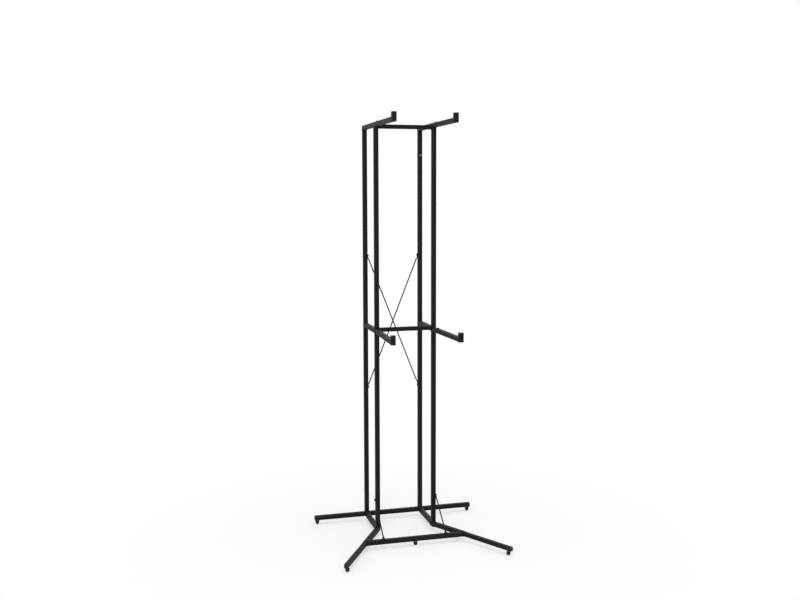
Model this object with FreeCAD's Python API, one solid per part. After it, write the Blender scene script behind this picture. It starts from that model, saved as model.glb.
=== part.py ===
import FreeCAD, Part
import math
import os

# Two tier rack of square steel tube: a splayed base, two stacked tiers of uprights, and four
# hook arms that reach forward and slide on spigots. Millimetres and degrees. +Z is up, the
# front is towards -Y, left is -X. The origin is on the floor under the middle of the whole rack.

# Frame tube
tube = 22.0
tube_wall = 1.5
tube_corner = 2.5

# Uprights, all eight of one length
upright_spacing = 292.0
upright_depth = 246.0
upright_length = 984.0

# Base
rear_bar_length = 844.0
leg_angle = 30.0
leg_length = 507.5
leg_tail = 12.0
front_bar_reach = 181.0
leg_joint_past_bar = 3.0
inner_leg_wall = 0.85
outer_leg_tube = 20.0
outer_leg_wall = 1.5
outer_leg_corner = 2.2
outer_leg_overlap = 35.0
leg_bolt_from_joint = 20.0

# Crossbars, of a smaller tube
crossbar_tube = 20.0
crossbar_wall = 1.5
crossbar_corner = 2.2
top_crossbar_above_uprights = 1.0
middle_crossbar_below_uprights = 4.0

# Hook arms and the spigots that they slide on
arm_length = 324.0
stub_rise = 18.0
top_extension = 0.3
middle_extension = 36.0
middle_splay = 2.5
arm_spigot_length = 90.0
arm_spigot_wall = 2.0
arm_spigot_play = 0.5
clamp_from_root = 20.0
seat_from_root = 40.0

# End caps
hook_cap_height = 4.0
hook_cap_plug = 12.0
hook_cap_edge = 1.2
cap_flange = 3.0
cap_edge = 0.8
cap_tongue_depth = 8.0
cap_tongue_height = 14.0
cap_tongue_thickness = 2.0

# Levelling feet
pad_radius = 10.2
pad_floor_radius = 4.0
pad_shoulder = 9.4
pad_height = 17.5
pad_edge = 1.0
stem_showing = 4.5
stem_radius = 4.0
stem_inside_tube = 14.0
stem_in_pad = 11.5
rear_pad_shoulder = 14.0
rear_pad_height = 15.0
rear_stem_in_pad = 10.0
rear_pad_gap = 0.3
rear_foot_from_end = 11.0
leg_foot_from_end = 17.0
foot_nut_width = 13.0
foot_nut_height = 8.0
foot_nut_corner = 0.75

# Cross brace of two rods behind, and the two stays in front
rod_radius = 3.0
rod_end_thickness = 3.0
rod_end_radius = 6.0
brace_top_height = 1398.0
brace_low_height = 712.0
brace_offset = 3.25
brace_end_length = 14.0
brace_round_from = 10.0
stay_end_length = 20.0
stay_round_from = 18.0
stay_top_height = 185.0
stay_foot_width = 14.0
stay_foot_back = 10.0
stay_foot_front = 7.0

# Fasteners
end_nut_height = 12.0
m8_radius = 4.0
m8_head_radius = 7.0
m8_head_height = 4.5
m6_radius = 3.0
m6_head_radius = 5.5
m6_head_height = 3.3
m6_shank = 10.0
clamp_head_radius = 5.8
clamp_head_height = 4.6
rear_screw_below_top = 125.0
rear_screw_head_radius = 4.2
rear_screw_head_height = 2.4
rear_screw_shank = 6.0
socket_share_of_head = 0.5
head_edge_share = 0.3

# Clearances
plug_clearance = 0.15
thread_clearance = 0.05
running_clearance = 0.08
hole_clearance = 0.4

# Derived places
ORIGIN = FreeCAD.Vector(0, 0, 0)
X_AXIS = FreeCAD.Vector(1, 0, 0)
Y_AXIS = FreeCAD.Vector(0, 1, 0)
Z_AXIS = FreeCAD.Vector(0, 0, 1)
SIDES = {"left": -1, "right": 1}
half_tube = tube / 2
bore = tube - 2 * tube_wall
leg_sin = math.sin(math.radians(leg_angle))
leg_cos = math.cos(math.radians(leg_angle))
leg_end = leg_length + cap_flange - cap_edge
leg_tip = leg_end * leg_cos + (outer_leg_tube / 2 - cap_edge) * leg_sin + cap_edge
total_depth = half_tube + upright_depth + leg_tip
rear_y = total_depth / 2 - half_tube
front_y = rear_y - upright_depth
front_face_y = front_y - half_tube
front_bar_y = front_y - front_bar_reach
upright_x = upright_spacing / 2
outer_x = upright_x + half_tube
inner_x = upright_x - half_tube
foot_height = pad_height + stem_showing
base_z = foot_height + half_tube
base_top = foot_height + tube
middle_bottom = base_top + upright_length
middle_z = middle_bottom + half_tube
middle_top = middle_bottom + tube
top_bottom = middle_top + upright_length
top_z = top_bottom + half_tube
leg_joint = (front_bar_reach + half_tube - half_tube * leg_sin) / leg_cos + leg_joint_past_bar
rear_foot_x = rear_bar_length / 2 - rear_foot_from_end
leg_foot_at = leg_length - leg_foot_from_end


def prism(width, corner, length):
    """Square bar with rounded long edges, standing on the origin."""
    half = width / 2
    flat = half - corner
    bend = corner * math.sqrt(0.5)
    edges = []
    for quarter in range(4):
        turn = FreeCAD.Rotation(Z_AXIS, 90 * quarter)
        side_start = turn.multVec(FreeCAD.Vector(half, -flat, 0))
        side_end = turn.multVec(FreeCAD.Vector(half, flat, 0))
        arc_middle = turn.multVec(FreeCAD.Vector(flat + bend, flat + bend, 0))
        arc_end = turn.multVec(FreeCAD.Vector(flat, half, 0))
        edges.append(Part.LineSegment(side_start, side_end).toShape())
        edges.append(Part.Arc(side_end, arc_middle, arc_end).toShape())
    face = Part.Face(Part.Wire(edges))
    return face.extrude(FreeCAD.Vector(0, 0, length))


def inner_corner(corner, wall):
    """Radius inside a bent wall, never quite sharp."""
    return max(corner - wall, 0.2)


def standing_bar(x, y, bottom, length, width, corner):
    shape = prism(width, corner, length)
    shape.translate(FreeCAD.Vector(x, y, bottom))
    return shape


def lying_bar(near, length, width, corner):
    """Bar along +X, from a distance near in front of the origin."""
    shape = prism(width, corner, length)
    shape.rotate(ORIGIN, Y_AXIS, 90)
    shape.translate(FreeCAD.Vector(near, 0, 0))
    return shape


def aim(shape, start, heading):
    """Turn a shape made along +X to a heading in degrees from +X, and move it to start."""
    shape.rotate(ORIGIN, Z_AXIS, heading)
    shape.translate(start)
    return shape


def along(start, heading, distance):
    """Point at a distance from start, along a heading in degrees from +X."""
    angle = math.radians(heading)
    return start + FreeCAD.Vector(math.cos(angle), math.sin(angle), 0) * distance


def level_tube(start, heading, length, width, wall, corner, shut_start=False, shut_end=False):
    """Level square tube; a shut end is closed by a plate as thick as the wall."""
    near = wall if shut_start else 0
    far = wall if shut_end else 0
    hollow = lying_bar(near, length - near - far, width - 2 * wall, inner_corner(corner, wall))
    return aim(lying_bar(0, length, width, corner).cut(hollow), start, heading)


def drill(shape, point, direction, depth, radius):
    """Round hole from a point, along a direction."""
    return shape.cut(Part.makeCylinder(radius, depth, point, direction))


def drill_down(shape, x, y, top, depth, radius):
    return drill(shape, FreeCAD.Vector(x, y, top), -Z_AXIS, depth, radius)


def socket_bolt(seat, outward, head_radius, head_height, radius, shank):
    """Bolt whose round head sits at seat and whose shank runs inward, with a hexagon socket."""
    head = Part.makeCylinder(head_radius, head_height)
    rim = [edge for edge in head.Edges if edge.BoundBox.ZMin > head_height / 2
           and isinstance(edge.Curve, Part.Circle)]
    head = head.makeFillet(head_height * head_edge_share, rim)
    socket_radius = head_radius * socket_share_of_head
    points = [FreeCAD.Vector(socket_radius * math.cos(math.radians(60 * corner)),
                             socket_radius * math.sin(math.radians(60 * corner)), head_height)
              for corner in range(7)]
    hexagon = Part.Face(Part.makePolygon(points))
    socket = hexagon.extrude(FreeCAD.Vector(0, 0, -head_height * socket_share_of_head))
    body = head.cut(socket).fuse(Part.makeCylinder(radius, shank, ORIGIN, -Z_AXIS))
    bolt = body.removeSplitter()
    bolt.Placement = FreeCAD.Placement(seat, FreeCAD.Rotation(Z_AXIS, outward))
    return bolt


def leg_start(side):
    """Point on the leg's axis under the front upright."""
    return FreeCAD.Vector(SIDES[side] * upright_x, front_y, base_z)


def leg_heading(side):
    return -90 + SIDES[side] * leg_angle


def leg_point(side, distance, height):
    point = along(leg_start(side), leg_heading(side), distance)
    return FreeCAD.Vector(point.x, point.y, height)


def leg_envelope(side):
    """Sharp-edged block round the whole leg, for cutting what butts against it."""
    start = along(leg_start(side), leg_heading(side), -leg_tail)
    block = Part.makeBox(leg_tail + leg_length, tube, tube, FreeCAD.Vector(0, -half_tube, -half_tube))
    return aim(block, start, leg_heading(side))


def rear_base_bar():
    start = FreeCAD.Vector(-rear_bar_length / 2, rear_y, base_z)
    bar = level_tube(start, 0, rear_bar_length, tube, tube_wall, tube_corner)
    for sign in SIDES.values():
        bar = drill_down(bar, sign * upright_x, rear_y, base_top, tube, m8_radius + hole_clearance)
        bar = drill_down(bar, sign * rear_foot_x, rear_y, base_z, tube, stem_radius + hole_clearance)
    return bar


def side_rail(side):
    start = FreeCAD.Vector(SIDES[side] * upright_x, rear_y - half_tube, base_z)
    rail = level_tube(start, -90, upright_depth - half_tube, tube, tube_wall, tube_corner)
    return rail.cut(leg_envelope(side))


def inner_leg(side):
    """Thin-walled length from the front corner, open at its far end for the outer leg."""
    start = along(leg_start(side), leg_heading(side), -leg_tail)
    leg = level_tube(start, leg_heading(side), leg_tail + leg_joint, tube, inner_leg_wall, tube_corner,
                     shut_start=True)
    leg = drill_down(leg, SIDES[side] * upright_x, front_y, base_top, tube, m8_radius + hole_clearance)
    return drill_for_leg_bolt(leg, side)


def outer_leg(side):
    """Thinner length that slides into the inner leg and carries the foot."""
    start = along(leg_start(side), leg_heading(side), leg_joint - outer_leg_overlap)
    length = leg_length - leg_joint + outer_leg_overlap
    leg = level_tube(start, leg_heading(side), length, outer_leg_tube, outer_leg_wall, outer_leg_corner)
    leg = drill_for_leg_bolt(leg, side)
    foot = leg_point(side, leg_foot_at, base_z)
    return drill_down(leg, foot.x, foot.y, base_z, tube, stem_radius + hole_clearance)


def drill_for_leg_bolt(leg, side):
    """Hole for the one bolt that holds a leg's two lengths together."""
    bolt = leg_point(side, leg_joint - leg_bolt_from_joint, base_top)
    return drill_down(leg, bolt.x, bolt.y, base_top, half_tube, m6_radius + thread_clearance)


def front_base_bar():
    reach = upright_x + front_bar_reach * leg_sin / leg_cos
    start = FreeCAD.Vector(-reach, front_bar_y, base_z)
    bar = level_tube(start, 0, 2 * reach, tube, tube_wall, tube_corner)
    for side in SIDES:
        bar = bar.cut(leg_envelope(side))
        bar = drill_down(bar, SIDES[side] * stay_x(), front_bar_y, base_top, half_tube,
                         m6_radius + thread_clearance)
    return drill_down(bar, 0, front_bar_y, base_z, tube, stem_radius + hole_clearance)


def upright(tier, row, side):
    bottom = base_top if tier == "lower" else middle_top
    x = SIDES[side] * upright_x
    y = front_y if row == "front" else rear_y
    outer = standing_bar(x, y, bottom, upright_length, tube, tube_corner)
    hollow = standing_bar(x, y, bottom, upright_length, bore, inner_corner(tube_corner, tube_wall))
    post = outer.cut(hollow)
    if tier == "lower" and row == "front":
        outside = FreeCAD.Vector(SIDES[side] * outer_x, y, stay_top_height)
        post = drill(post, outside, X_AXIS * -SIDES[side], half_tube, m6_radius + thread_clearance)
    if row == "rear":
        post = drill(post, brace_hole(tier, side), X_AXIS * SIDES[side], half_tube,
                     m6_radius + thread_clearance)
    if (tier, row, side) == ("upper", "rear", "right"):
        post = drill(post, rear_screw_seat(), Y_AXIS, half_tube, m6_radius + thread_clearance)
    return post


def side_bar(level, side):
    """Bar across the tops of a front and a rear upright, shut at both ends."""
    height = top_z if level == "top" else middle_z
    x = SIDES[side] * upright_x
    start = FreeCAD.Vector(x, rear_y + half_tube, height)
    bar = level_tube(start, -90, upright_depth + tube, tube, tube_wall, tube_corner,
                     shut_start=True, shut_end=True)
    if level == "middle":
        for y in (front_y, rear_y):
            bar = drill_down(bar, x, y, middle_top, tube, m8_radius + hole_clearance)
    return bar


def crossbar(level):
    heights = {"top": top_bottom + top_crossbar_above_uprights,
               "middle": middle_top - middle_crossbar_below_uprights}
    start = FreeCAD.Vector(-inner_x, front_y, heights[level])
    return level_tube(start, 0, 2 * inner_x, crossbar_tube, crossbar_wall, crossbar_corner)


def arm_heading(level, side):
    splay = middle_splay if level == "middle" else 0
    return -90 + SIDES[side] * splay


def arm_face(level, side):
    """Point where the arm's axis leaves the front end of its side bar."""
    height = top_z if level == "top" else middle_z
    return FreeCAD.Vector(SIDES[side] * upright_x, front_face_y, height)


def arm_root(level, side):
    extension = top_extension if level == "top" else middle_extension
    return along(arm_face(level, side), arm_heading(level, side), extension)


def arm_spigot(level, side):
    """Tube fixed to the front end of the side bar, on which the hook arm slides."""
    face = arm_face(level, side)
    heading = arm_heading(level, side)
    width = bore - 2 * arm_spigot_play
    start = along(face, heading, -half_tube)
    corner = inner_corner(tube_corner, tube_wall)
    spigot = level_tube(start, heading, arm_spigot_length + half_tube, width, arm_spigot_wall, corner)
    behind = Part.makeBox(2 * tube, 2 * tube, 2 * tube,
                          FreeCAD.Vector(face.x - tube, front_face_y, face.z - tube))
    return spigot.cut(behind)


def upstand(width, corner, bottom, top):
    """Upright bar at the front end of an arm that lies along +X."""
    shape = prism(width, corner, top - bottom)
    shape.translate(FreeCAD.Vector(arm_length + half_tube, 0, bottom))
    return shape


def hook_arm(level, side):
    """Arm tube welded to an upstanding stub at its front end."""
    # The arm runs on by the corner radius, so that its sides meet the flat of the stub.
    seat = lying_bar(seat_from_root, arm_length + tube_corner - seat_from_root, tube, tube_corner)
    seat = seat.fuse(upstand(tube, tube_corner, -half_tube, half_tube + stub_rise)).removeSplitter()
    # The length under the clamp screw joins it with a seam, so that the seat is a face of its own.
    outside = seat.fuse(lying_bar(0, seat_from_root, tube, tube_corner))
    corner = inner_corner(tube_corner, tube_wall)
    arm = outside.cut(lying_bar(0, arm_length, bore, corner))
    arm = arm.cut(upstand(bore, corner, tube_wall - half_tube, half_tube + stub_rise))
    arm = drill_down(arm, clamp_from_root, 0, half_tube, half_tube, m6_radius + thread_clearance)
    return aim(arm, arm_root(level, side), arm_heading(level, side))


def hook_cap(level, side):
    """Plastic cap with a plug that fills the top of the stub."""
    head = prism(tube, tube_corner, hook_cap_height)
    rim = [edge for edge in head.Edges if edge.BoundBox.ZMin > hook_cap_height / 2]
    head = head.makeFillet(hook_cap_edge, rim)
    plug = prism(bore - 2 * plug_clearance, inner_corner(tube_corner, tube_wall), hook_cap_plug)
    plug.translate(FreeCAD.Vector(0, 0, -hook_cap_plug))
    cap = head.fuse(plug).removeSplitter()
    cap.translate(FreeCAD.Vector(arm_length + half_tube, 0, half_tube + stub_rise))
    return aim(cap, arm_root(level, side), arm_heading(level, side))


def arm_screw(level, side):
    """Clamp screw through the arm's top wall, bearing on the spigot."""
    root = arm_root(level, side)
    seat = along(root, arm_heading(level, side), clamp_from_root)
    seat.z = root.z + half_tube
    shank = tube_wall + arm_spigot_play - thread_clearance
    return socket_bolt(seat, Z_AXIS, clamp_head_radius, clamp_head_height, m6_radius, shank)


def end_cap(end, heading, width, wall, corner):
    """Flanged cap for an open tube end, with two tongues that grip the side walls."""
    flange = prism(width, corner, cap_flange)
    rim = [edge for edge in flange.Edges if edge.BoundBox.ZMin > cap_flange / 2]
    cap = flange.makeFillet(cap_edge, rim)
    inside = width / 2 - wall - plug_clearance
    for low in (-inside, inside - cap_tongue_thickness):
        tongue = Part.makeBox(cap_tongue_height, cap_tongue_thickness, cap_tongue_depth,
                              FreeCAD.Vector(-cap_tongue_height / 2, low, -cap_tongue_depth))
        cap = cap.fuse(tongue)
    cap.rotate(ORIGIN, Y_AXIS, 90)
    return aim(cap, end, heading)


def base_end_caps():
    caps = []
    for side, sign in SIDES.items():
        rear_end = FreeCAD.Vector(sign * rear_bar_length / 2, rear_y, base_z)
        caps.append(end_cap(rear_end, 0 if sign > 0 else 180, tube, tube_wall, tube_corner))
        caps.append(end_cap(leg_point(side, leg_length, base_z), leg_heading(side),
                            outer_leg_tube, outer_leg_wall, outer_leg_corner))
    return caps


def foot_places():
    """Where each foot stands: name, x and y."""
    places = {"middle_front": (0, front_bar_y)}
    for side, sign in SIDES.items():
        point = leg_point(side, leg_foot_at, 0)
        places["rear_" + side] = (sign * rear_foot_x, rear_y)
        places["front_" + side] = (point.x, point.y)
    return places


def foot_pad(name, x, y):
    """Round-sided pad with a flat under it and a blind hole for its stem."""
    if name.startswith("rear"):
        shoulder, height, edge, depth = rear_pad_shoulder, rear_pad_height, 0, rear_stem_in_pad
    else:
        shoulder, height, edge, depth = pad_shoulder, pad_height, pad_edge, stem_in_pad
    # The side is an arc from the floor that ends upright at the shoulder.
    spread = pad_radius - pad_floor_radius
    arc_radius = (shoulder ** 2 + spread ** 2) / (2 * spread)
    arc_centre = pad_radius - arc_radius
    half_way = math.asin(shoulder / arc_radius) / 2
    floor_point = FreeCAD.Vector(pad_floor_radius, 0, 0)
    side_point = FreeCAD.Vector(arc_centre + arc_radius * math.cos(half_way), 0,
                                shoulder - arc_radius * math.sin(half_way))
    shoulder_point = FreeCAD.Vector(pad_radius, 0, shoulder)
    rim = [shoulder_point, FreeCAD.Vector(pad_radius, 0, height - edge)]
    if edge:
        rim.append(FreeCAD.Vector(pad_radius - edge, 0, height))
    rim += [FreeCAD.Vector(0, 0, height), ORIGIN, floor_point]
    side = Part.Arc(floor_point, side_point, shoulder_point).toShape()
    outline = Part.Wire([side] + Part.makePolygon(rim).Edges)
    pad = Part.Face(outline).revolve(ORIGIN, Z_AXIS, 360)
    pad = drill_down(pad, 0, 0, height, depth, stem_radius + thread_clearance)
    pad.translate(FreeCAD.Vector(x, y, 0))
    return pad


def foot_stem(name, x, y):
    """Threaded stem, drawn smooth, from the pad up into the nut in the tube."""
    bottom = pad_height - stem_in_pad
    if name.startswith("rear"):
        bottom = rear_pad_height - rear_stem_in_pad
    length = foot_height + stem_inside_tube - bottom
    return Part.makeCylinder(stem_radius, length, FreeCAD.Vector(x, y, bottom))


def foot_nut(name, x, y):
    """Nut welded inside the tube over the hole for a foot's stem."""
    headings = {"front_left": leg_heading("left"), "front_right": leg_heading("right")}
    nut = prism(foot_nut_width, foot_nut_corner, foot_nut_height)
    nut.rotate(ORIGIN, Z_AXIS, headings.get(name, 0))
    seat = foot_height + tube_wall
    if name in headings:
        seat = base_z - outer_leg_tube / 2 + outer_leg_wall
    nut.translate(FreeCAD.Vector(x, y, seat))
    return drill_down(nut, x, y, seat + foot_nut_height, foot_nut_height, stem_radius + running_clearance)


def rear_foot_socket(side):
    """Collar under the end of the rear bar, round the foot's stem."""
    x = SIDES[side] * rear_foot_x
    bottom = rear_pad_height + rear_pad_gap
    collar = Part.makeCylinder(pad_radius, foot_height - bottom, FreeCAD.Vector(x, rear_y, bottom))
    return drill_down(collar, x, rear_y, foot_height, foot_height, stem_radius + hole_clearance)


def end_nut(x, y, bottom):
    """Threaded block welded inside the end of an upright."""
    width = bore - 2 * plug_clearance
    nut = standing_bar(x, y, bottom, end_nut_height, width, inner_corner(tube_corner, tube_wall))
    return drill_down(nut, x, y, bottom + end_nut_height, end_nut_height, m8_radius + thread_clearance)


def upright_places():
    return [(sign * upright_x, y) for sign in SIDES.values() for y in (front_y, rear_y)]


def upright_end_nuts():
    nuts = []
    for x, y in upright_places():
        nuts.append(end_nut(x, y, base_top))
        nuts.append(end_nut(x, y, middle_bottom - end_nut_height))
        nuts.append(end_nut(x, y, middle_top))
    return nuts


def base_bolts():
    """Bolts up through the base tubes into the feet of the lower uprights."""
    return [socket_bolt(FreeCAD.Vector(x, y, foot_height), -Z_AXIS, m8_head_radius, m8_head_height,
                        m8_radius, tube + end_nut_height) for x, y in upright_places()]


def middle_studs():
    """Studs through the middle side bars that join the lower and upper uprights."""
    length = tube + 2 * end_nut_height
    return [Part.makeCylinder(m8_radius, length, FreeCAD.Vector(x, y, middle_bottom - end_nut_height))
            for x, y in upright_places()]


def rod_end(centre, direction, normal, length):
    """Flattened rod end: a round-ended plate with a hole at its centre."""
    plate_start = centre - normal * (rod_end_thickness / 2)
    disc = Part.makeCylinder(rod_end_radius, rod_end_thickness, plate_start, normal)
    across = normal.cross(direction)
    corners = [plate_start + across * rod_end_radius,
               plate_start + across * rod_end_radius + direction * length,
               plate_start - across * rod_end_radius + direction * length,
               plate_start - across * rod_end_radius]
    strip = Part.Face(Part.makePolygon(corners + corners[:1])).extrude(normal * rod_end_thickness)
    plate = disc.fuse(strip)
    return plate.cut(Part.makeCylinder(m6_radius + thread_clearance, rod_end_thickness, plate_start, normal))


def brace_hole(tier, side):
    """Where a brace rod is bolted to the inner face of a rear upright."""
    # Each rod lies wholly in front of the other or behind it, so that they cross without touching.
    rising_sign = SIDES[side] if tier == "upper" else -SIDES[side]
    height = brace_top_height if tier == "upper" else brace_low_height
    return FreeCAD.Vector(SIDES[side] * inner_x, rear_y + rising_sign * brace_offset, height)


def brace_rod(rising_side):
    """Rod that climbs towards one side, its flattened ends bent flat against the uprights."""
    falling_side = "left" if rising_side == "right" else "right"
    plates = []
    round_ends = []
    for tier, side, direction in (("upper", rising_side, -Z_AXIS), ("lower", falling_side, Z_AXIS)):
        hole = brace_hole(tier, side)
        inward = X_AXIS * -SIDES[side]
        plates.append(rod_end(hole + inward * (rod_end_thickness / 2), direction, X_AXIS, brace_end_length))
        round_ends.append(hole + inward * rod_end_thickness + direction * brace_round_from)
    run = round_ends[1] - round_ends[0]
    rod = Part.makeCylinder(rod_radius, run.Length, round_ends[0], run)
    return rod.fuse(plates).removeSplitter()


def stay_x():
    """Distance of a stay's plane from the middle of the rack."""
    return outer_x + rod_end_thickness / 2


def stay_rod(side):
    """Stay from the outer face of a front upright down to the front base bar."""
    x = SIDES[side] * stay_x()
    top = FreeCAD.Vector(x, front_y, stay_top_height)
    low = FreeCAD.Vector(x, front_bar_y + stay_foot_back, base_top + rod_end_thickness / 2)
    direction = (low - top).normalize()
    length = (low - top).Length - stay_round_from
    rod = Part.makeCylinder(rod_radius, length, top + direction * stay_round_from, direction)
    rod = rod.fuse(rod_end(top, direction, X_AXIS, stay_end_length))
    foot = Part.makeBox(stay_foot_width, stay_foot_back + stay_foot_front, rod_end_thickness,
                        FreeCAD.Vector(x - stay_foot_width / 2, front_bar_y - stay_foot_front, base_top))
    below = Part.makeBox(tube, tube, tube, FreeCAD.Vector(x - half_tube, low.y - half_tube, foot_height))
    rod = rod.fuse(foot).cut(below).removeSplitter()
    return drill_down(rod, x, front_bar_y, base_top + rod_end_thickness, rod_end_thickness,
                      m6_radius + thread_clearance)


def m6_bolt(seat, outward):
    return socket_bolt(seat, outward, m6_head_radius, m6_head_height, m6_radius, m6_shank)


def m6_bolts():
    """Bolts of the brace, the stays and the leg joints."""
    bolts = []
    for side, sign in SIDES.items():
        stay_seat = FreeCAD.Vector(sign * (outer_x + rod_end_thickness), front_y, stay_top_height)
        bolts.append(m6_bolt(stay_seat, X_AXIS * sign))
        foot_seat = FreeCAD.Vector(sign * stay_x(), front_bar_y, base_top + rod_end_thickness)
        bolts.append(m6_bolt(foot_seat, Z_AXIS))
        bolts.append(m6_bolt(leg_point(side, leg_joint - leg_bolt_from_joint, base_top), Z_AXIS))
        for tier in ("lower", "upper"):
            rod_seat = brace_hole(tier, side) - X_AXIS * (sign * rod_end_thickness)
            bolts.append(m6_bolt(rod_seat, X_AXIS * -sign))
    return bolts


def rear_screw_seat():
    """Point on the front face of the upper right rear upright."""
    return FreeCAD.Vector(upright_x, rear_y - half_tube, top_bottom - rear_screw_below_top)


def rear_screw():
    """Bright screw, only on the right."""
    return socket_bolt(rear_screw_seat(), -Y_AXIS, rear_screw_head_radius, rear_screw_head_height,
                       m6_radius, rear_screw_shank)


def all_parts():
    """Every sub-part by name; a list is a group of separate solids."""
    parts = {"rear_base_bar": rear_base_bar(), "front_base_bar": front_base_bar()}
    for side in SIDES:
        parts[side + "_side_rail"] = side_rail(side)
        parts[side + "_inner_leg"] = inner_leg(side)
        parts[side + "_outer_leg"] = outer_leg(side)
        parts[side + "_stay_rod"] = stay_rod(side)
        parts["brace_rod_rising_" + side] = brace_rod(side)
        for row in ("front", "rear"):
            for tier in ("lower", "upper"):
                parts["{}_{}_{}_upright".format(tier, row, side)] = upright(tier, row, side)
        for level in ("middle", "top"):
            corner = level + "_" + side
            parts[corner + "_side_bar"] = side_bar(level, side)
            parts[corner + "_hook_arm"] = hook_arm(level, side)
            parts[corner + "_hook_cap"] = hook_cap(level, side)
            parts[corner + "_arm_screw"] = arm_screw(level, side)
    for name, (x, y) in foot_places().items():
        parts[name + "_foot_pad"] = foot_pad(name, x, y)
        parts[name + "_foot_stem"] = foot_stem(name, x, y)
    parts["top_crossbar"] = crossbar("top")
    parts["middle_crossbar"] = crossbar("middle")
    parts["arm_spigots"] = [arm_spigot(level, side) for level in ("middle", "top") for side in SIDES]
    parts["foot_nuts"] = [foot_nut(name, x, y) for name, (x, y) in foot_places().items()]
    parts["rear_foot_sockets"] = [rear_foot_socket(side) for side in SIDES]
    parts["base_end_caps"] = base_end_caps()
    parts["upright_end_nuts"] = upright_end_nuts()
    parts["base_bolts"] = base_bolts()
    parts["middle_studs"] = middle_studs()
    parts["m6_bolts"] = m6_bolts()
    parts["rear_screw"] = rear_screw()
    return parts


os.makedirs("parts", exist_ok=True)
for node, shape in all_parts().items():
    if isinstance(shape, list):
        shape = Part.makeCompound(shape)
    print(node, len(shape.Solids), "solids", round(shape.Volume), "mm3", "valid", shape.isValid())
    shape.exportStep("parts/" + node + ".step")
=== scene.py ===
import math

import bpy
from mathutils import Matrix, Vector


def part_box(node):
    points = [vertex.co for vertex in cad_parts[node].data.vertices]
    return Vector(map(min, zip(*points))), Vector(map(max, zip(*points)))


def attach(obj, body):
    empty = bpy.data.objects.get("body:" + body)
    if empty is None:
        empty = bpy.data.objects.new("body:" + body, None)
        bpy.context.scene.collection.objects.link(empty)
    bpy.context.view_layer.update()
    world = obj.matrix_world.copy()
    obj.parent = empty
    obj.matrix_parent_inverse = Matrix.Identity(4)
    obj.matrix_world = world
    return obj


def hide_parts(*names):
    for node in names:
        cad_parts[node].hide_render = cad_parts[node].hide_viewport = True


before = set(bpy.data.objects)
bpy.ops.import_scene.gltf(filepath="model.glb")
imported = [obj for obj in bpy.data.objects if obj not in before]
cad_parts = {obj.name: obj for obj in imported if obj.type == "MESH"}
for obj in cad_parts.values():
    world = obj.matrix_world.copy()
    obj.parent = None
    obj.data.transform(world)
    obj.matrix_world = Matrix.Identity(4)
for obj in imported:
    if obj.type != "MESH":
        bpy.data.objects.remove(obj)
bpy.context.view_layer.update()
bpy.ops.object.select_all(action="DESELECT")


# Base frame
# The rear bar, two side rails, inner legs and front bar are 22 mm square steel tube, cut, butted
# and welded, then powder coated satin black in one piece. The 20 mm outer legs slide into the
# inner ones. The tube's rounded long edges are painted paler, partly for the thin coat there and
# partly as a painted highlight, and floor dust settles on it low down.

def middle_of(name):
    """Middle of a solid's box, as the frame has it."""
    lowest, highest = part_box(name)
    return (Vector(lowest) + Vector(highest)) / 2


tube_half = 0.011
thin_tube_half = 0.010
rear_y, base_z = middle_of("rear_base_bar").yz
front_bar_y = middle_of("front_base_bar").y
post_x, front_y = middle_of("lower_front_right_upright").xy
leg_turn = math.radians(30)


class Tone:
    """A socket of a material's nodes. Sums on it add Math nodes; node adds any other kind."""

    def __init__(self, socket):
        self.socket = socket

    def node(self, kind, settings, sockets, output=0):
        made = self.socket.id_data.nodes.new("ShaderNode" + kind)
        for name, value in settings.items():
            setattr(made, name, value)
        for name, value in sockets.items():
            if isinstance(value, Tone):
                made.id_data.links.new(value.socket, made.inputs[name])
            else:
                made.inputs[name].default_value = value
        return Tone(made.outputs[output])

    def sum(self, operation, first, second=0.0):
        return self.node("Math", {"operation": operation}, {0: first, 1: second})

    def __add__(self, other):
        return self.sum("ADD", self, other)

    def __sub__(self, other):
        return self.sum("SUBTRACT", self, other)

    def __rsub__(self, other):
        return self.sum("SUBTRACT", other, self)

    def __mul__(self, other):
        return self.sum("MULTIPLY", self, other)

    def __gt__(self, other):
        return self.sum("GREATER_THAN", self, other)

    def __lt__(self, other):
        return self.sum("LESS_THAN", self, other)

    __radd__ = __add__
    __rmul__ = __mul__

    def size(self):
        return self.sum("ABSOLUTE", self)

    def most(self, other):
        return self.sum("MAXIMUM", self, other)

    def fade(self, low, high):
        """0 below low, 1 above high, and smooth between."""
        return self.node("MapRange", {"interpolation_type": "SMOOTHSTEP"},
                         {"Value": self, "From Min": low, "From Max": high})

    def grain(self, lumps, detail=3.0, stretch=(1, 1, 1)):
        """Noise with so many lumps per metre, drawn out along an axis by a small stretch."""
        point = self.node("Mapping", {}, {"Vector": self, "Scale": stretch})
        return self.node("TexNoise", {}, {"Vector": point, "Scale": lumps, "Detail": detail})

    def between(self, low, high):
        """Mixes two colours by this mask."""
        return self.node("Mix", {"data_type": "RGBA"}, {0: self, 6: low, 7: high}, output=2)


def new_finish(name, metallic=0.0, specular=0.5):
    """Material, its shader, and the point on the piece in metres."""
    material = bpy.data.materials.new(name)
    material.use_nodes = True
    shader = material.node_tree.nodes["Principled BSDF"]
    shader.inputs["Metallic"].default_value = metallic
    shader.inputs["Specular IOR Level"].default_value = specular
    point = Tone(material.node_tree.nodes.new("ShaderNodeTexCoord").outputs["Object"])
    return material, shader, point


def lay_on(shader, colour, roughness, height, depth):
    """Feeds the shader its colour, its roughness, and a relief of a depth in metres."""
    bump = height.node("Bump", {}, {"Height": height, "Distance": depth, "Strength": 1.0})
    for socket, tone in (("Base Color", colour), ("Roughness", roughness), ("Normal", bump)):
        shader.id_data.links.new(tone.socket, shader.inputs[socket])


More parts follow.
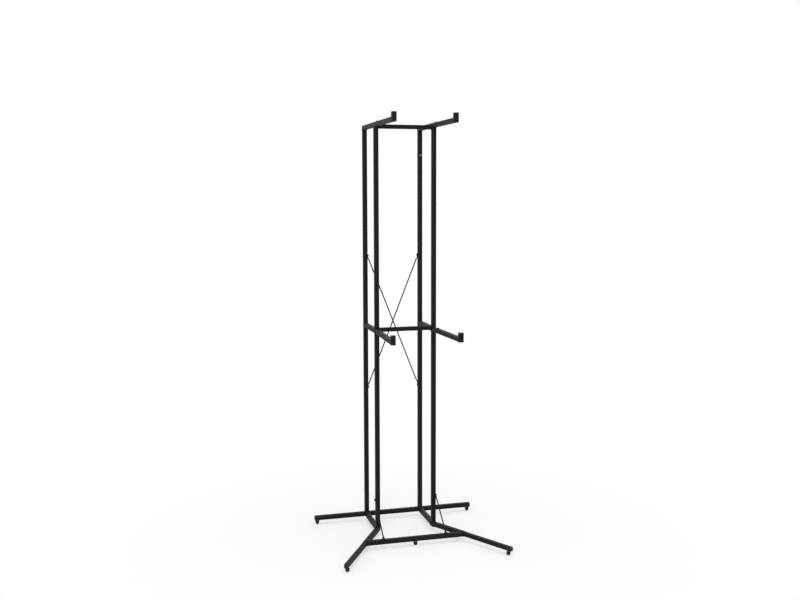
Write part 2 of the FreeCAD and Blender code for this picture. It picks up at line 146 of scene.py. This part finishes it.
def give(material, *names):
    """Finishes the solids of these names."""
    for name in names:
        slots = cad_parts[name].data.materials
        for number in range(len(slots)):
            slots[number] = material


paint_black = (0.0092, 0.0089, 0.0099, 1)
# paint_thin is the paler black of a thin coat; on the rounded tube edges it is also a painted highlight.
paint_thin = (0.0185, 0.0180, 0.0192, 1)
paint_rubbed = (0.050, 0.049, 0.048, 1)
floor_dust = (0.090, 0.085, 0.078, 1)
paint_gloss = 0.10
satin = 0.46


def corner_band(first, second, half=tube_half):
    """1 on the rounded long edges of a square tube, from the two distances across it."""
    bend_start, bend_full, skin = 0.0022, 0.0009, 0.0004

    def band(distance):
        return distance.fade(half - bend_start, half - bend_full) * (distance < half + skin)
    return band(first.size()) * band(second.size())


def powder_coat(name, edges=None, rubs=0.3, dust=0.0, marks=None):
    """Satin black coat. edges and marks are masks of x taken as a size, y and z."""
    peel_depth, dust_top = 0.00004, 0.14
    material, shader, point = new_finish(name, specular=paint_gloss)
    x, y, z = [point.node("SeparateXYZ", {}, {0: point}, output=way) for way in range(3)]
    x = x.size()
    cloud = point.grain(9, 3.0)
    peel = point.grain(560, 2.0)
    streak = point.grain(55, 5.0, (1, 1, 0.2)).fade(0.62, 0.80) * rubs
    colour = (cloud.fade(0.40, 0.75) * 0.22).between(paint_black, paint_thin)
    rough = satin + cloud * 0.10 + streak * 0.08
    if edges:
        # Painted highlight on the rounded long edges: mixed paler for the thin coat there and for light
        # catching them, and made a little glossier.
        worn = edges(x, y, z) * (0.45 + 0.55 * point.grain(120, 4.0).fade(0.45, 0.65))
        colour = (worn * 0.8).between(colour, paint_thin)
        rough = rough - worn * 0.10
    colour = (streak * 0.5).between(colour, paint_rubbed)
    if marks:
        rubbed = marks(x, y, z) * point.grain(150, 5.0, (0.2, 1, 1)).fade(0.44, 0.66)
        colour = (rubbed * 0.7).between(colour, paint_rubbed)
        rough = rough - rubbed * 0.10
    if dust:
        veil = 0.4 + 0.6 * point.grain(420, 6.0).fade(0.40, 0.70)
        settled = (1 - z.fade(0.0, dust_top)) * veil * point.grain(14, 3.0).fade(0.35, 0.70) * dust
        colour = settled.between(colour, floor_dust)
        rough = rough + settled * 0.3
    lay_on(shader, colour, rough, peel * 0.8 + point.grain(1700, 1.0) * 0.2, peel_depth)
    return material


def rear_bar_edges(x, y, z):
    return corner_band(y - rear_y, z - base_z)


def rail_edges(x, y, z):
    return corner_band(x - post_x, z - base_z)


def leg_edges(x, y, z, half=tube_half):
    across = (x - post_x) * math.cos(leg_turn) + (y - front_y) * math.sin(leg_turn)
    return corner_band(across, z - base_z, half)


def outer_leg_edges(x, y, z):
    return leg_edges(x, y, z, thin_tube_half)


def front_bar_edges(x, y, z):
    return corner_band(y - front_bar_y, z - base_z)


give(powder_coat("rear_bar_coat", rear_bar_edges, dust=0.10), "rear_base_bar")
give(powder_coat("rail_coat", rail_edges, dust=0.10), "left_side_rail", "right_side_rail")
give(powder_coat("leg_coat", leg_edges, 0.5, dust=0.12), "left_inner_leg", "right_inner_leg")
give(powder_coat("outer_leg_coat", outer_leg_edges, 0.5, dust=0.12), "left_outer_leg", "right_outer_leg")
give(powder_coat("front_bar_coat", front_bar_edges, 0.4, dust=0.12), "front_base_bar")


# Welds of the base
# Short rippled beads laid round each butted tube end before coating: two rails onto the rear
# bar, the rails onto the legs, and the front bar between the legs.

def start_round(sides, radius, centre, facing="Z"):
    """Starts a piece as a filled round, left selected in edit mode."""
    turn = {"X": (0, math.pi / 2, 0), "Y": (math.pi / 2, 0, 0), "Z": (0, 0, 0)}[facing]
    bpy.ops.object.select_all(action="DESELECT")
    bpy.ops.mesh.primitive_circle_add(vertices=sides, radius=radius, fill_type="NGON",
                                      location=centre, rotation=turn)
    bpy.ops.object.transform_apply(location=True, rotation=True, scale=True)
    bpy.ops.object.mode_set(mode="EDIT")
    bpy.ops.mesh.select_all(action="SELECT")


def draw_out(start, end, grow):
    """Pulls the selected end from start to end, and sizes it there."""
    bpy.ops.mesh.extrude_region_move(TRANSFORM_OT_translate={"value": Vector(end) - Vector(start)})
    bpy.ops.transform.resize(value=grow, center_override=end)


def pick(keep, points=False):
    """Selects the faces, or the points, whose place passes a test, and nothing else."""
    bpy.ops.mesh.select_mode(type="VERT" if points else "FACE")
    bpy.ops.mesh.select_all(action="DESELECT")
    bpy.ops.object.mode_set(mode="OBJECT")
    mesh = bpy.context.object.data
    for item in mesh.vertices if points else mesh.polygons:
        item.select = keep(item.co if points else item.center)
    bpy.ops.object.mode_set(mode="EDIT")


def leave_shaped(name, smooth=40):
    """Ends the shaping of a piece, with its faces outward and its curves smooth."""
    bpy.ops.mesh.select_all(action="SELECT")
    bpy.ops.mesh.normals_make_consistent(inside=False)
    bpy.ops.object.mode_set(mode="OBJECT")
    bpy.ops.object.shade_smooth_by_angle(angle=math.radians(smooth))
    piece = bpy.context.object
    piece.name = name
    return piece


def put(template, name, matrix):
    """Copies a piece with its own mesh, set in place."""
    piece = template.copy()
    piece.data = template.data.copy()
    piece.data.transform(matrix)
    piece.name = name
    bpy.context.scene.collection.objects.link(piece)
    return piece


def join(pieces, name):
    bpy.ops.object.select_all(action="DESELECT")
    for piece in pieces:
        piece.select_set(True)
    bpy.context.view_layer.objects.active = pieces[0]
    if len(pieces) > 1:
        bpy.ops.object.join()
    pieces[0].name = name
    return pieces[0]


def finish(piece, material, slot, body, *replaced):
    piece.data.materials.clear()
    piece.data.materials.append(material)
    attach(piece, body)
    if replaced:
        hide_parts(*replaced)


# The bead's radius rises and falls in ripples along it, and its line wanders a little.
bead_length, bead_radius, bead_valley = 0.018, 0.0019, 0.84
bead_tip, bead_tail = 0.0009, 0.0008
bead_wander, wander_step = 0.00012, 2.1
bead_rings = 18
bead_end, bead_size = Vector((-bead_length / 2, 0, 0)), bead_tip
start_round(8, bead_tip, bead_end, "X")
for ring in range(1, bead_rings + 1):
    drift = bead_wander * math.sin(wander_step * ring)
    new_end = Vector((-bead_length / 2 + ring * bead_length / bead_rings, drift, -drift))
    new_size = bead_radius if ring % 2 else bead_radius * bead_valley
    if ring == bead_rings:
        new_size = bead_tail
    draw_out(bead_end, new_end, (1, new_size / bead_size, new_size / bead_size))
    bead_end, bead_size = new_end, new_size
bead = leave_shaped("weld_bead", 70)
weld_coat = powder_coat("weld_coat", rubs=0.2, dust=0.1)


def lay_bead(start, end, thickness=1.0):
    """One bead between two points."""
    start, end = Vector(start), Vector(end)
    run = end - start
    swell = Matrix.Diagonal((run.length / bead_length, thickness, thickness, 1))
    turn = run.to_track_quat("X", "Z").to_matrix().to_4x4()
    return put(bead, "run", Matrix.Translation((start + end) / 2) @ turn @ swell)


def box_run(corners, low, high):
    """Beads along the top and bottom of a joint seen from above, and down its two ends."""
    inset = 0.002
    runs = []
    for first, second in zip(corners, corners[1:]):
        runs += [lay_bead((*first, high), (*second, high)), lay_bead((*first, low), (*second, low))]
    for corner in (corners[0], corners[-1]):
        runs.append(lay_bead((*corner, low + inset), (*corner, high - inset)))
    return runs


def leg_place(side, forward, outward):
    """Place by a leg, from the distances along it from the upright and out from its middle."""
    x = post_x + forward * math.sin(leg_turn) + outward * math.cos(leg_turn)
    y = front_y - forward * math.cos(leg_turn) + outward * math.sin(leg_turn)
    return side * x, y


base_low, base_high, rail_top = base_z - 0.0102, base_z + 0.0101, base_z + 0.0095
rail_side, rail_end_y = 0.0107, rear_y - tube_half - 0.0002
# Distances along a leg, of its tail and the front bar's sides, and out from the leg's middle.
tail, past_post, bar_back, bar_front = -0.0120, 0.0029, 0.1899, 0.2152
tail_inside, bar_end = -0.0058, -0.01117
runs = []
for side in (-1, 1):
    runs += box_run([(side * (post_x - rail_side), rail_end_y), (side * (post_x + rail_side), rail_end_y)],
                    base_low, base_high)
    runs += box_run([leg_place(side, tail, tail_inside), leg_place(side, tail, tube_half),
                     leg_place(side, past_post, tube_half)], base_low, rail_top)
    runs += box_run([leg_place(side, bar_back, bar_end), leg_place(side, bar_front, bar_end)],
                    base_low, base_high)
finish(join(runs, "base_welds"), weld_coat, "frame_paint", "frame")


# Tube end caps
# Moulded black plastic caps pushed into the open ends of the rear bar and the legs. The mould's
# spark-eroded face leaves a fine even grain, polished a little where shoes have touched it.

def moulded(name, black, sheen, marks=0.3):
    """Black moulded plastic or rubber with a fine grain."""
    grain_depth = 0.00002
    material, shader, point = new_finish(name, specular=0.3)
    height = point.grain(2600, 2.0)
    cloud = point.grain(45, 4.0).fade(0.42, 0.70)
    scuff = point.grain(240, 5.0).fade(0.60, 0.76) * marks
    dark = (black, black * 0.98, black * 1.03, 1)
    worn = black * 2.4
    pale = (worn, worn * 0.98, worn * 1.03, 1)
    colour = (cloud * 0.35 + scuff * 0.65).between(dark, pale)
    lay_on(shader, colour, sheen + cloud * 0.08 - scuff * 0.06, height, grain_depth)
    return material


cap_plastic = moulded("cap_plastic_finish", 0.0085, 0.50)
give(cap_plastic, "base_end_caps")


# Levelling feet
# Five screw feet. Each is a zinc plated M8 stem in a moulded rubber pad with a domed side; those
# under the rear bar run up through a welded collar. Square nuts inside the tube take the stems.

def bright_metal(name, pale, rough, tint, marks=0.25):
    """Plated or bare steel: fine turning lines, dull clouds and a few dark specks."""
    speck_brown = (0.10, 0.095, 0.09, 1)
    line_depth = 0.00001
    material, shader, point = new_finish(name, metallic=1.0)
    lines = point.grain(900, 3.0, (0.15, 0.15, 1))
    cloud = point.grain(130, 4.0).fade(0.40, 0.72)
    speck = point.grain(700, 3.0).fade(0.66, 0.78) * marks
    colour = (cloud * 0.5).between(pale, tint)
    colour = speck.between(colour, speck_brown)
    lay_on(shader, colour, rough + cloud * 0.14 + lines * 0.06, lines, line_depth)
    return material


zinc = bright_metal("zinc_plate", (0.62, 0.63, 0.65, 1), 0.26, (0.50, 0.50, 0.49, 1))
bare_steel = bright_metal("bare_steel", (0.45, 0.45, 0.46, 1), 0.38, (0.30, 0.28, 0.26, 1), 0.5)
foot_rubber = moulded("foot_rubber_finish", 0.0075, 0.42, 0.5)

foot_places = {name: middle_of(name + "_foot_stem").xy
               for name in ("middle_front", "rear_left", "rear_right", "front_left", "front_right")}


def turned_pad(name, shoulder, rim):
    """Pad turned up from its floor ring: a round side up to the shoulder, then the rim."""
    # The side is an arc that stands upright at the shoulder, a tenth of a millimetre inside the
    # solid pad's own.
    widest, floor_ring, inside = 0.0102, 0.0040, 0.0001
    steps = 12
    spread = widest - floor_ring
    arc = (shoulder ** 2 + spread ** 2) / (2 * spread)
    centre = widest - arc
    arc -= inside
    lowest = math.asin(shoulder / arc)
    angles = [lowest * left / steps for left in range(steps, -1, -1)]
    side = [(centre + arc * math.cos(angle), shoulder - arc * math.sin(angle)) for angle in angles]
    start_round(48, side[0][0], (0, 0, 0))
    for (old, low), (new, high) in zip(side + rim, side[1:] + rim):
        draw_out((0, 0, low), (0, 0, high), (new / old, new / old, 1))
    return leave_shaped(name, 35)


leg_pad = turned_pad("leg_pad", 0.0094, [
    (0.0101, 0.0160), (0.0099, 0.0167), (0.0094, 0.0172), (0.0087, 0.0175), (0.0050, 0.0175),
    (0.0042, 0.0168)])
rear_pad = turned_pad("rear_pad", 0.0140, [
    (0.0101, 0.0145), (0.0099, 0.0149), (0.0095, 0.0150), (0.0050, 0.0150), (0.0042, 0.0143)])

# The stem's thread is one V, screwed up in M8's coarse pitch.
thread_radius, pitch, turns, turn_steps = 0.0040, 0.00125, 23, 28
merge_distance = 0.00001
bpy.ops.object.select_all(action="DESELECT")
bpy.ops.mesh.primitive_circle_add(vertices=4, radius=pitch / 2, fill_type="NOTHING",
                                  rotation=(math.pi / 2, 0, 0))
bpy.ops.object.transform_apply(location=True, rotation=True, scale=True)
stem = bpy.context.object
bpy.ops.object.mode_set(mode="EDIT")
pick(lambda place: place.x < -pitch / 4, points=True)
bpy.ops.mesh.delete(type="VERT")
bpy.ops.mesh.select_all(action="SELECT")
bpy.ops.transform.translate(value=(thread_radius - pitch / 2, 0, pitch / 2))
bpy.ops.object.mode_set(mode="OBJECT")
winding = stem.modifiers.new("thread", "SCREW")
winding.axis, winding.angle, winding.screw_offset, winding.iterations = "Z", 2 * math.pi, pitch, turns
winding.steps = winding.render_steps = turn_steps
winding.use_merge_vertices, winding.merge_threshold = True, merge_distance
bpy.ops.object.modifier_apply(modifier="thread")
bpy.ops.object.mode_set(mode="EDIT")
bpy.ops.mesh.select_all(action="SELECT")
bpy.ops.mesh.remove_doubles(threshold=merge_distance)
bpy.ops.mesh.fill_holes(sides=0)
stem = leave_shaped("threaded_stem", 25)
stem_height = (turns + 1) * pitch

for name, (x, y) in foot_places.items():
    pattern = rear_pad if name.startswith("rear") else leg_pad
    pad = put(pattern, name + "_moulded_pad", Matrix.Translation((x, y, 0)))
    finish(pad, foot_rubber, "foot_rubber", name + "_foot", name + "_foot_pad")
    lowest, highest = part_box(name + "_foot_stem")
    stretch = Matrix.Diagonal((1, 1, (highest.z - lowest.z) / stem_height, 1))
    screw = put(stem, name + "_threaded_stem", Matrix.Translation((x, y, lowest.z)) @ stretch)
    finish(screw, zinc, "zinc", name + "_foot", name + "_foot_stem")
for pattern in (leg_pad, rear_pad, stem):
    bpy.data.objects.remove(pattern)
give(bare_steel, "foot_nuts")
give(powder_coat("collar_coat", dust=0.1), "rear_foot_sockets")

# Each collar is welded to the underside of the bar all round.
ring_radius, ring_z, ring_bead = 0.0100, base_z - tube_half - 0.0006, 0.55
ring_angles = [math.radians(turn) for turn in range(0, 361, 30)]
runs = []
for name in ("rear_left", "rear_right"):
    x, y = foot_places[name]
    corners = [(x + ring_radius * math.cos(angle), y + ring_radius * math.sin(angle), ring_z)
               for angle in ring_angles]
    runs += [lay_bead(first, second, ring_bead) for first, second in zip(corners, corners[1:])]
finish(join(runs, "collar_welds"), weld_coat, "frame_paint", "frame")


# Uprights, side bars and crossbars
# Eight posts of the same tube. Each tier is closed by a side bar across its front and rear post
# and a smaller crossbar between the front posts. The top ones are welded to their posts; at
# middle height studs run through the side bars, so that the rack ships in two tiers.

side_bar_z = {level: middle_of(level + "_left_side_bar").z for level in ("middle", "top")}
crossbar_z = {level: middle_of(level + "_crossbar").z for level in ("middle", "top")}


def from_nearer(distance, first, second):
    """Distance from the nearer of two places, below 0 between them."""
    return (distance - (first + second) / 2).size() - (second - first) / 2


def post_edges(x, y, z):
    return corner_band(x - post_x, from_nearer(y, front_y, rear_y))


def side_bar_edges(x, y, z):
    return corner_band(x - post_x, from_nearer(z, side_bar_z["middle"], side_bar_z["top"]))


def crossbar_edges(x, y, z):
    height = from_nearer(z, crossbar_z["middle"], crossbar_z["top"])
    return corner_band(y - front_y, height, thin_tube_half)


give(powder_coat("post_coat", post_edges, dust=0.08),
     *[tier + "_" + row + "_" + side + "_upright" for tier in ("lower", "upper")
       for row in ("front", "rear") for side in ("left", "right")])
give(powder_coat("side_bar_coat", side_bar_edges),
     *[level + "_" + side + "_side_bar" for level in ("middle", "top") for side in ("left", "right")])
give(powder_coat("crossbar_coat", crossbar_edges), "top_crossbar", "middle_crossbar")

# Beads round the crossbars' ends, then round the tops of the posts. The rearmost bead is low and
# ends flush with the tube's rear face.
inner_x = post_x - tube_half
bar_start, bar_stop = front_y - 0.0081, front_y + 0.0082
bar_sides, bar_height = (front_y - 0.0098, front_y + 0.0099), 0.0099
post_bead, post_side, post_top = 0.0085, 0.0105, side_bar_z["top"] - tube_half + 0.0002
inset, low_crown = 0.002, 0.45
flush_back = rear_y + tube_half - (bead_radius + bead_wander) * low_crown
post_rows = ((front_y - 0.0105, front_y + 0.0111), (rear_y - 0.0110, flush_back))
runs = []
for side in (-1, 1):
    for z in (crossbar_z["top"], crossbar_z["middle"]):
        bead_x = side * (inner_x + 0.0001)
        for height in (z - bar_height, z + bar_height):
            runs.append(lay_bead((bead_x, bar_start, height), (bead_x, bar_stop, height)))
        bead_x = side * (inner_x + 0.0003)
        for y in bar_sides:
            runs.append(lay_bead((bead_x, y, z - post_bead), (bead_x, y, z + post_bead)))
    for front, back in post_rows:
        for y in (front, back):
            crown = low_crown if y == flush_back else 1.0
            runs.append(lay_bead((side * (post_x - post_bead), y, post_top),
                                 (side * (post_x + post_bead), y, post_top), crown))
        for x in (side * (post_x - post_side), side * (post_x + post_side)):
            runs.append(lay_bead((x, front + inset, post_top), (x, back - inset, post_top)))
finish(join(runs, "tier_welds"), weld_coat, "frame_paint", "frame")


# Studs, blocks and base bolts
# Threaded blocks are welded in the upright ends. Studs join the tiers through the middle side
# bars, and black bolts come up through the base tubes.

def black_oxide(name):
    """Oil-blacked steel, browner and brighter where a key has turned it."""
    oil_black = (0.030, 0.029, 0.031, 1)
    oil_brown = (0.060, 0.054, 0.050, 1)
    nicked = (0.22, 0.21, 0.20, 1)
    grain_depth = 0.00001
    material, shader, point = new_finish(name, metallic=0.85)
    cloud = point.grain(260, 4.0).fade(0.42, 0.70)
    nick = point.grain(900, 3.0).fade(0.62, 0.74)
    colour = (cloud * 0.5).between(oil_black, oil_brown)
    colour = (nick * 0.5).between(colour, nicked)
    lay_on(shader, colour, 0.40 + cloud * 0.15, point.grain(1500, 2.0), grain_depth)
    return material


give(bare_steel, "upright_end_nuts", "middle_studs")
black_bolt = black_oxide("black_oxide_bolts")
give(black_bolt, "base_bolts", "m6_bolts")


# Cross brace
# Two 6 mm rods cross behind the rack, one in front of the other. Each end is hammered flat,
# bent against the inner face of a rear upright and bolted to it.

def drawn_rod(facing, sections):
    """Rod drawn through a row of ellipses, each a middle and its half widths."""
    middle, half = sections[0]
    start_round(20, 1.0, middle, facing)
    bpy.ops.transform.resize(value=half, center_override=middle)
    for (old, old_half), (new, half) in zip(sections, sections[1:]):
        draw_out(old, new, [wide / narrow for wide, narrow in zip(half, old_half)])


def press(way, level, keep):
    """Hammers the points that pass a test flat, at a level across X, Y or Z."""
    pick(keep, points=True)
    flat = [0.0 if axis == way else 1.0 for axis in "XYZ"]
    anvil = [level if axis == way else 0.0 for axis in "XYZ"]
    bpy.ops.transform.resize(value=flat, center_override=anvil)


# Thickness of a hammered end, radius of the rod, and radius of its round end.
plate, rod, end_radius = 0.003, 0.003, 0.006
lowest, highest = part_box("brace_rod_rising_right")
low_hole, top_hole = lowest.z + end_radius, highest.z - end_radius
# How far a rod lies off the posts' middle, and how far from a hole its run and its flat reach.
brace_offset, round_from, flat_length = 0.00325, 0.010, 0.009
run_length = top_hole - low_hole - 2 * round_from
lean = 2 * (inner_x - plate) / run_length
slant = rod * math.hypot(1, lean)


def brace_end(hole, way, side):
    """Ellipses from a rod's flat end to its round run; way is up or down, side is right or left."""
    # Each row: how far past the hole, the share of the way onto the round run, two half widths.
    outline = [(0.0058, 0.0, 0.0026, 0.0015), (0.0050, 0.0, 0.0026, 0.0034),
               (0.0035, 0.0, 0.0026, 0.0049), (0.0018, 0.0, 0.0026, 0.0057),
               (-0.0005, 0.0, 0.0026, 0.0060), (-0.0045, 0.0, 0.0026, 0.0059),
               (-0.0085, 0.0, 0.0026, 0.0055), (-0.0115, 0.15, 0.0027, 0.0048),
               (-0.0145, 0.55, 0.0029, 0.0040), (-0.0180, 0.90, slant, 0.0033),
               (-0.0220, 1.0, slant, rod)]
    ellipses = []
    for past, share, half_x, half_y in outline:
        flat_x = inner_x - plate / 2
        rod_x = inner_x - plate + (past + round_from) * lean
        x = side * (flat_x + (rod_x - flat_x) * share)
        ellipses.append(((x, 0, hole + way * past), (half_x, half_y, 1.0)))
    return ellipses


drawn_rod("Z", brace_end(top_hole, 1, 1) + brace_end(low_hole, -1, -1)[::-1])
press("X", inner_x, lambda place: place.x > inner_x)
press("X", -inner_x, lambda place: place.x < -inner_x)
press("X", inner_x - plate, lambda place: place.z > top_hole - flat_length and place.x < inner_x - plate)
press("X", plate - inner_x, lambda place: place.z < low_hole + flat_length and place.x > plate - inner_x)
brace = leave_shaped("brace_pattern")
brace_coat = powder_coat("brace_coat", rubs=0.2)
for side, sign, turn in (("right", 1, 0), ("left", -1, math.pi)):
    place = Matrix.Translation((0, rear_y + sign * brace_offset, 0)) @ Matrix.Rotation(turn, 4, "Z")
    finish(put(brace, "rising_" + side + "_brace_rod", place), brace_coat, "frame_paint", "frame",
           "brace_rod_rising_" + side)
bpy.data.objects.remove(brace)


# Front stays
# A rod on each side props the front upright from the front base bar. Its top is hammered flat
# and bolted to the upright's outer face; its foot is flattened, bent level and bolted down.

stay_x = post_x + tube_half + plate / 2
hole_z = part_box("right_stay_rod")[1].z - end_radius
bar_top = base_z + tube_half
bend_y = front_bar_y + 0.010
# Where the top's flat starts, and where the foot's underside and its upper side turn level.
flat_y, under_y, upper_y = front_y - 0.012, bend_y + 0.016, bend_y - 0.002
foot_half = 0.007
stay_rise = (hole_z - bar_top - plate / 2) / (front_y - bend_y)
steep = rod * math.hypot(1, stay_rise)
# Each row: how far past the hole or the bend, the share of the way onto the slope, half widths.
top_outline = [
    (0.0058, 0.2, 0.0026, 0.0015), (0.0050, 0.2, 0.0026, 0.0034), (0.0035, 0.3, 0.0026, 0.0050),
    (0.0018, 0.5, 0.0026, 0.0060), (0.0, 1.0, 0.0026, 0.0067), (-0.0034, 1.0, 0.0026, 0.0073),
    (-0.0069, 1.0, 0.0026, 0.0070), (-0.0104, 1.0, 0.0026, 0.0062), (-0.0134, 1.0, 0.0027, 0.0053),
    (-0.0164, 1.0, 0.0029, 0.0045), (-0.0199, 1.0, rod, steep)]
foot_outline = [
    (0.0201, 1.0, rod, steep), (0.0121, 1.0, 0.0032, 0.0037), (0.0061, 1.0, 0.0040, 0.0034),
    (0.0026, 0.95, 0.0052, 0.0030), (-0.0004, 0.70, 0.0070, 0.0027), (-0.0034, 0.0, 0.0084, 0.0026),
    (-0.0139, 0.0, 0.0084, 0.0026), (-0.0157, 0.0, 0.0079, 0.0026), (-0.0169, 0.0, 0.0064, 0.0022)]
sections = []
for around, level, outline in ((front_y, hole_z, top_outline), (bend_y, bar_top + plate / 2, foot_outline)):
    for past, share, half_x, half_z in outline:
        slope_z = hole_z + (around + past - front_y) * stay_rise
        sections.append(((0, around + past, level + (slope_z - level) * share), (half_x, 1.0, half_z)))
drawn_rod("Y", sections)
for sign in (-1, 1):
    press("X", sign * plate / 2, lambda place: place.y > flat_y and place.x * sign > plate / 2)
    press("X", sign * foot_half, lambda place: place.x * sign > foot_half)
press("Z", bar_top, lambda place: place.y < under_y and place.z < bar_top)
press("Z", bar_top + plate, lambda place: place.y < upper_y and place.z > bar_top + plate)
stay = leave_shaped("stay_pattern")
for side, sign in (("left", -1), ("right", 1)):
    finish(put(stay, side + "_stay", Matrix.Translation((sign * stay_x, 0, 0))), brace_coat,
           "frame_paint", "frame", side + "_stay_rod")
bpy.data.objects.remove(stay)


# Hook arms
# Four arms of the same tube, each with a welded upright stub that keeps its load from sliding
# off, a pushed-in cap, and a clamp screw. They slide on bare-edged spigots at the side bars'
# ends. Loads have rubbed their tops behind the stubs.

front_face_y = front_y - tube_half
arm_length = 0.324
arm_gap = {"middle": 0.036, "top": 0.0003}
arm_splay = {"middle": math.radians(2.5), "top": 0.0}


def stub_distance(level):
    """From the uprights' front face to the stub's middle, along the arm."""
    return arm_gap[level] + arm_length + tube_half


def arm_measures(level):
    """Edge and rub masks of the arms of one level."""
    height, splay = side_bar_z[level], arm_splay[level]
    skin = 0.0006

    def measured(x, y):
        aside = (x - post_x) * math.cos(splay) + (y - front_face_y) * math.sin(splay)
        ahead = (x - post_x) * math.sin(splay) - (y - front_face_y) * math.cos(splay)
        return aside, ahead - stub_distance(level)

    def edges(x, y, z):
        aside, past = measured(x, y)
        return corner_band(aside, z - height).most(corner_band(aside, past))

    def marks(x, y, z):
        aside, past = measured(x, y)
        seat = (z > height + tube_half - skin) * (z < height + tube_half + skin)
        return seat * past.fade(-0.17, -0.12) * (1 - past.fade(-0.02, -0.012))
    return edges, marks


# Half length of a stub's bead, and where its sides, its foot and the line of the joint lie.
stub_bead, stub_side, stub_foot, stub_line = 0.0085, 0.0105, -0.0104, 0.0007
for level in ("middle", "top"):
    edges, marks = arm_measures(level)
    give(powder_coat(level + "_arm_coat", edges, 0.5, marks=marks),
         level + "_left_hook_arm", level + "_right_hook_arm")
    face = stub_distance(level) - tube_half
    joint = face + stub_line
    for side, sign in (("left", -1), ("right", 1)):
        name = level + "_" + side
        axis = (Matrix.Translation((sign * post_x, front_face_y, side_bar_z[level]))
                @ Matrix.Rotation(sign * arm_splay[level] - math.pi / 2, 4, "Z"))
        ends = [((face, -stub_bead, tube_half), (face, stub_bead, tube_half)),
                ((joint, -stub_bead, stub_foot), (joint, stub_bead, stub_foot))]
        for across in (-stub_side, stub_side):
            ends.append(((joint, across, -stub_bead), (joint, across, stub_bead)))
        runs = [lay_bead(axis @ Vector(first), axis @ Vector(last)) for first, last in ends]
        finish(join(runs, name + "_stub_weld"), weld_coat, "frame_paint", name + "_arm")
        give(cap_plastic, name + "_hook_cap")
        give(black_bolt, name + "_arm_screw")
bpy.data.objects.remove(bead)


def rubbed_spigot():
    """Thin coat, drawn bright in fine lines by the arm that slides over it."""
    bared_steel = (0.11, 0.105, 0.10, 1)
    scratch_depth = 0.00002
    material, shader, point = new_finish("spigot_coat", specular=paint_gloss)
    scratches = point.grain(900, 4.0, (1, 0.03, 1)).fade(0.50, 0.72)
    patch = point.grain(60, 3.0, (1, 0.4, 1)).fade(0.35, 0.65)
    bared = scratches * patch
    colour = (bared * 0.75).between(paint_thin, bared_steel)
    lay_on(shader, colour, satin - bared * 0.12, scratches, scratch_depth)
    return material


give(rubbed_spigot(), "arm_spigots")


# Rear screw
# One plated screw in the front face of the upper right rear upright, duller than the feet's
# new plating.

give(bright_metal("dull_zinc", (0.36, 0.36, 0.37, 1), 0.38, (0.28, 0.28, 0.27, 1), 0.4), "rear_screw")


# The picture
# A pale studio floor that fades to a white surround, broad soft lamps in front and above, and
# the camera where the photograph was taken from.

floor_radius = 60
bpy.ops.mesh.primitive_circle_add(vertices=96, radius=floor_radius, fill_type="NGON", location=(0, 0, 0))
floor = bpy.context.object
floor.name = "studio_floor"
floor_finish = bpy.data.materials.new("studio_floor_finish")
floor_finish.use_nodes = True
nodes = floor_finish.node_tree.nodes
floor_shader = nodes["Principled BSDF"]
floor_shader.inputs["Base Color"].default_value = (0.97, 0.97, 0.97, 1)
floor_shader.inputs["Roughness"].default_value = 0.9
floor_shader.inputs["Specular IOR Level"].default_value = 0.0
spot = Tone(nodes.new("ShaderNodeTexCoord").outputs["Object"])
away = spot.node("VectorMath", {"operation": "LENGTH"}, {0: spot}, output=1)
seen = Tone(nodes.new("ShaderNodeLightPath").outputs["Is Camera Ray"])
glow = seen.node("Emission", {}, {"Color": (1, 1, 1, 1), "Strength": 1.0})
faded = (0.55 + 0.45 * away.fade(0.5, 1.6)) * seen
mixed = faded.node("MixShader", {}, {0: faded, 1: Tone(floor_shader.outputs[0]), 2: glow})
floor_finish.node_tree.links.new(mixed.socket, nodes["Material Output"].inputs["Surface"])
floor.data.materials.append(floor_finish)

# The surround is full white where it is seen or mirrored, and dimmer as a light.
world = bpy.data.worlds.new("studio_surround")
bpy.context.scene.world = world
world.use_nodes = True
nodes = world.node_tree.nodes
path = nodes.new("ShaderNodeLightPath")
shown = Tone(path.outputs["Is Camera Ray"]).most(Tone(path.outputs["Is Glossy Ray"]))
shown = shown.most(Tone(path.outputs["Is Transmission Ray"]))
world.node_tree.links.new((0.55 + shown * 0.45).socket, nodes["Background"].inputs["Strength"])
nodes["Background"].inputs["Color"].default_value = (1, 1, 1, 1)


def lamp(name, place, target, size, power):
    light = bpy.data.lights.new(name, "AREA")
    light.size, light.energy = size, power
    holder = bpy.data.objects.new(name, light)
    bpy.context.scene.collection.objects.link(holder)
    holder.location = place
    holder.rotation_euler = (Vector(target) - Vector(place)).to_track_quat("-Z", "Y").to_euler()


lamp("key_lamp", (-1.9, -4.0, 3.0), (0, 0, 1.0), 2.6, 75)
lamp("top_lamp", (0.4, 0.2, 4.6), (0, 0, 0.8), 3.0, 75)

# Where the photograph was taken from, worked out from the rack's edges in it.
camera_place = (-1.2422, -4.4578, 1.7033)
camera_heading, camera_tilt, camera_roll = -14.944, -6.213, -0.139
sensor_width, picture_width, focal_pixels = 36, 800, 958.58
lens = bpy.data.cameras.new("camera")
lens.sensor_width = sensor_width
lens.lens = sensor_width * focal_pixels / picture_width
camera = bpy.data.objects.new("camera", lens)
bpy.context.scene.collection.objects.link(camera)
camera.matrix_world = (Matrix.Translation(camera_place)
                       @ Matrix.Rotation(math.radians(camera_heading), 4, "Z")
                       @ Matrix.Rotation(math.radians(90 + camera_tilt), 4, "X")
                       @ Matrix.Rotation(math.radians(camera_roll), 4, "Z"))
bpy.context.scene.camera = camera
bpy.context.scene.view_settings.view_transform = "Standard"
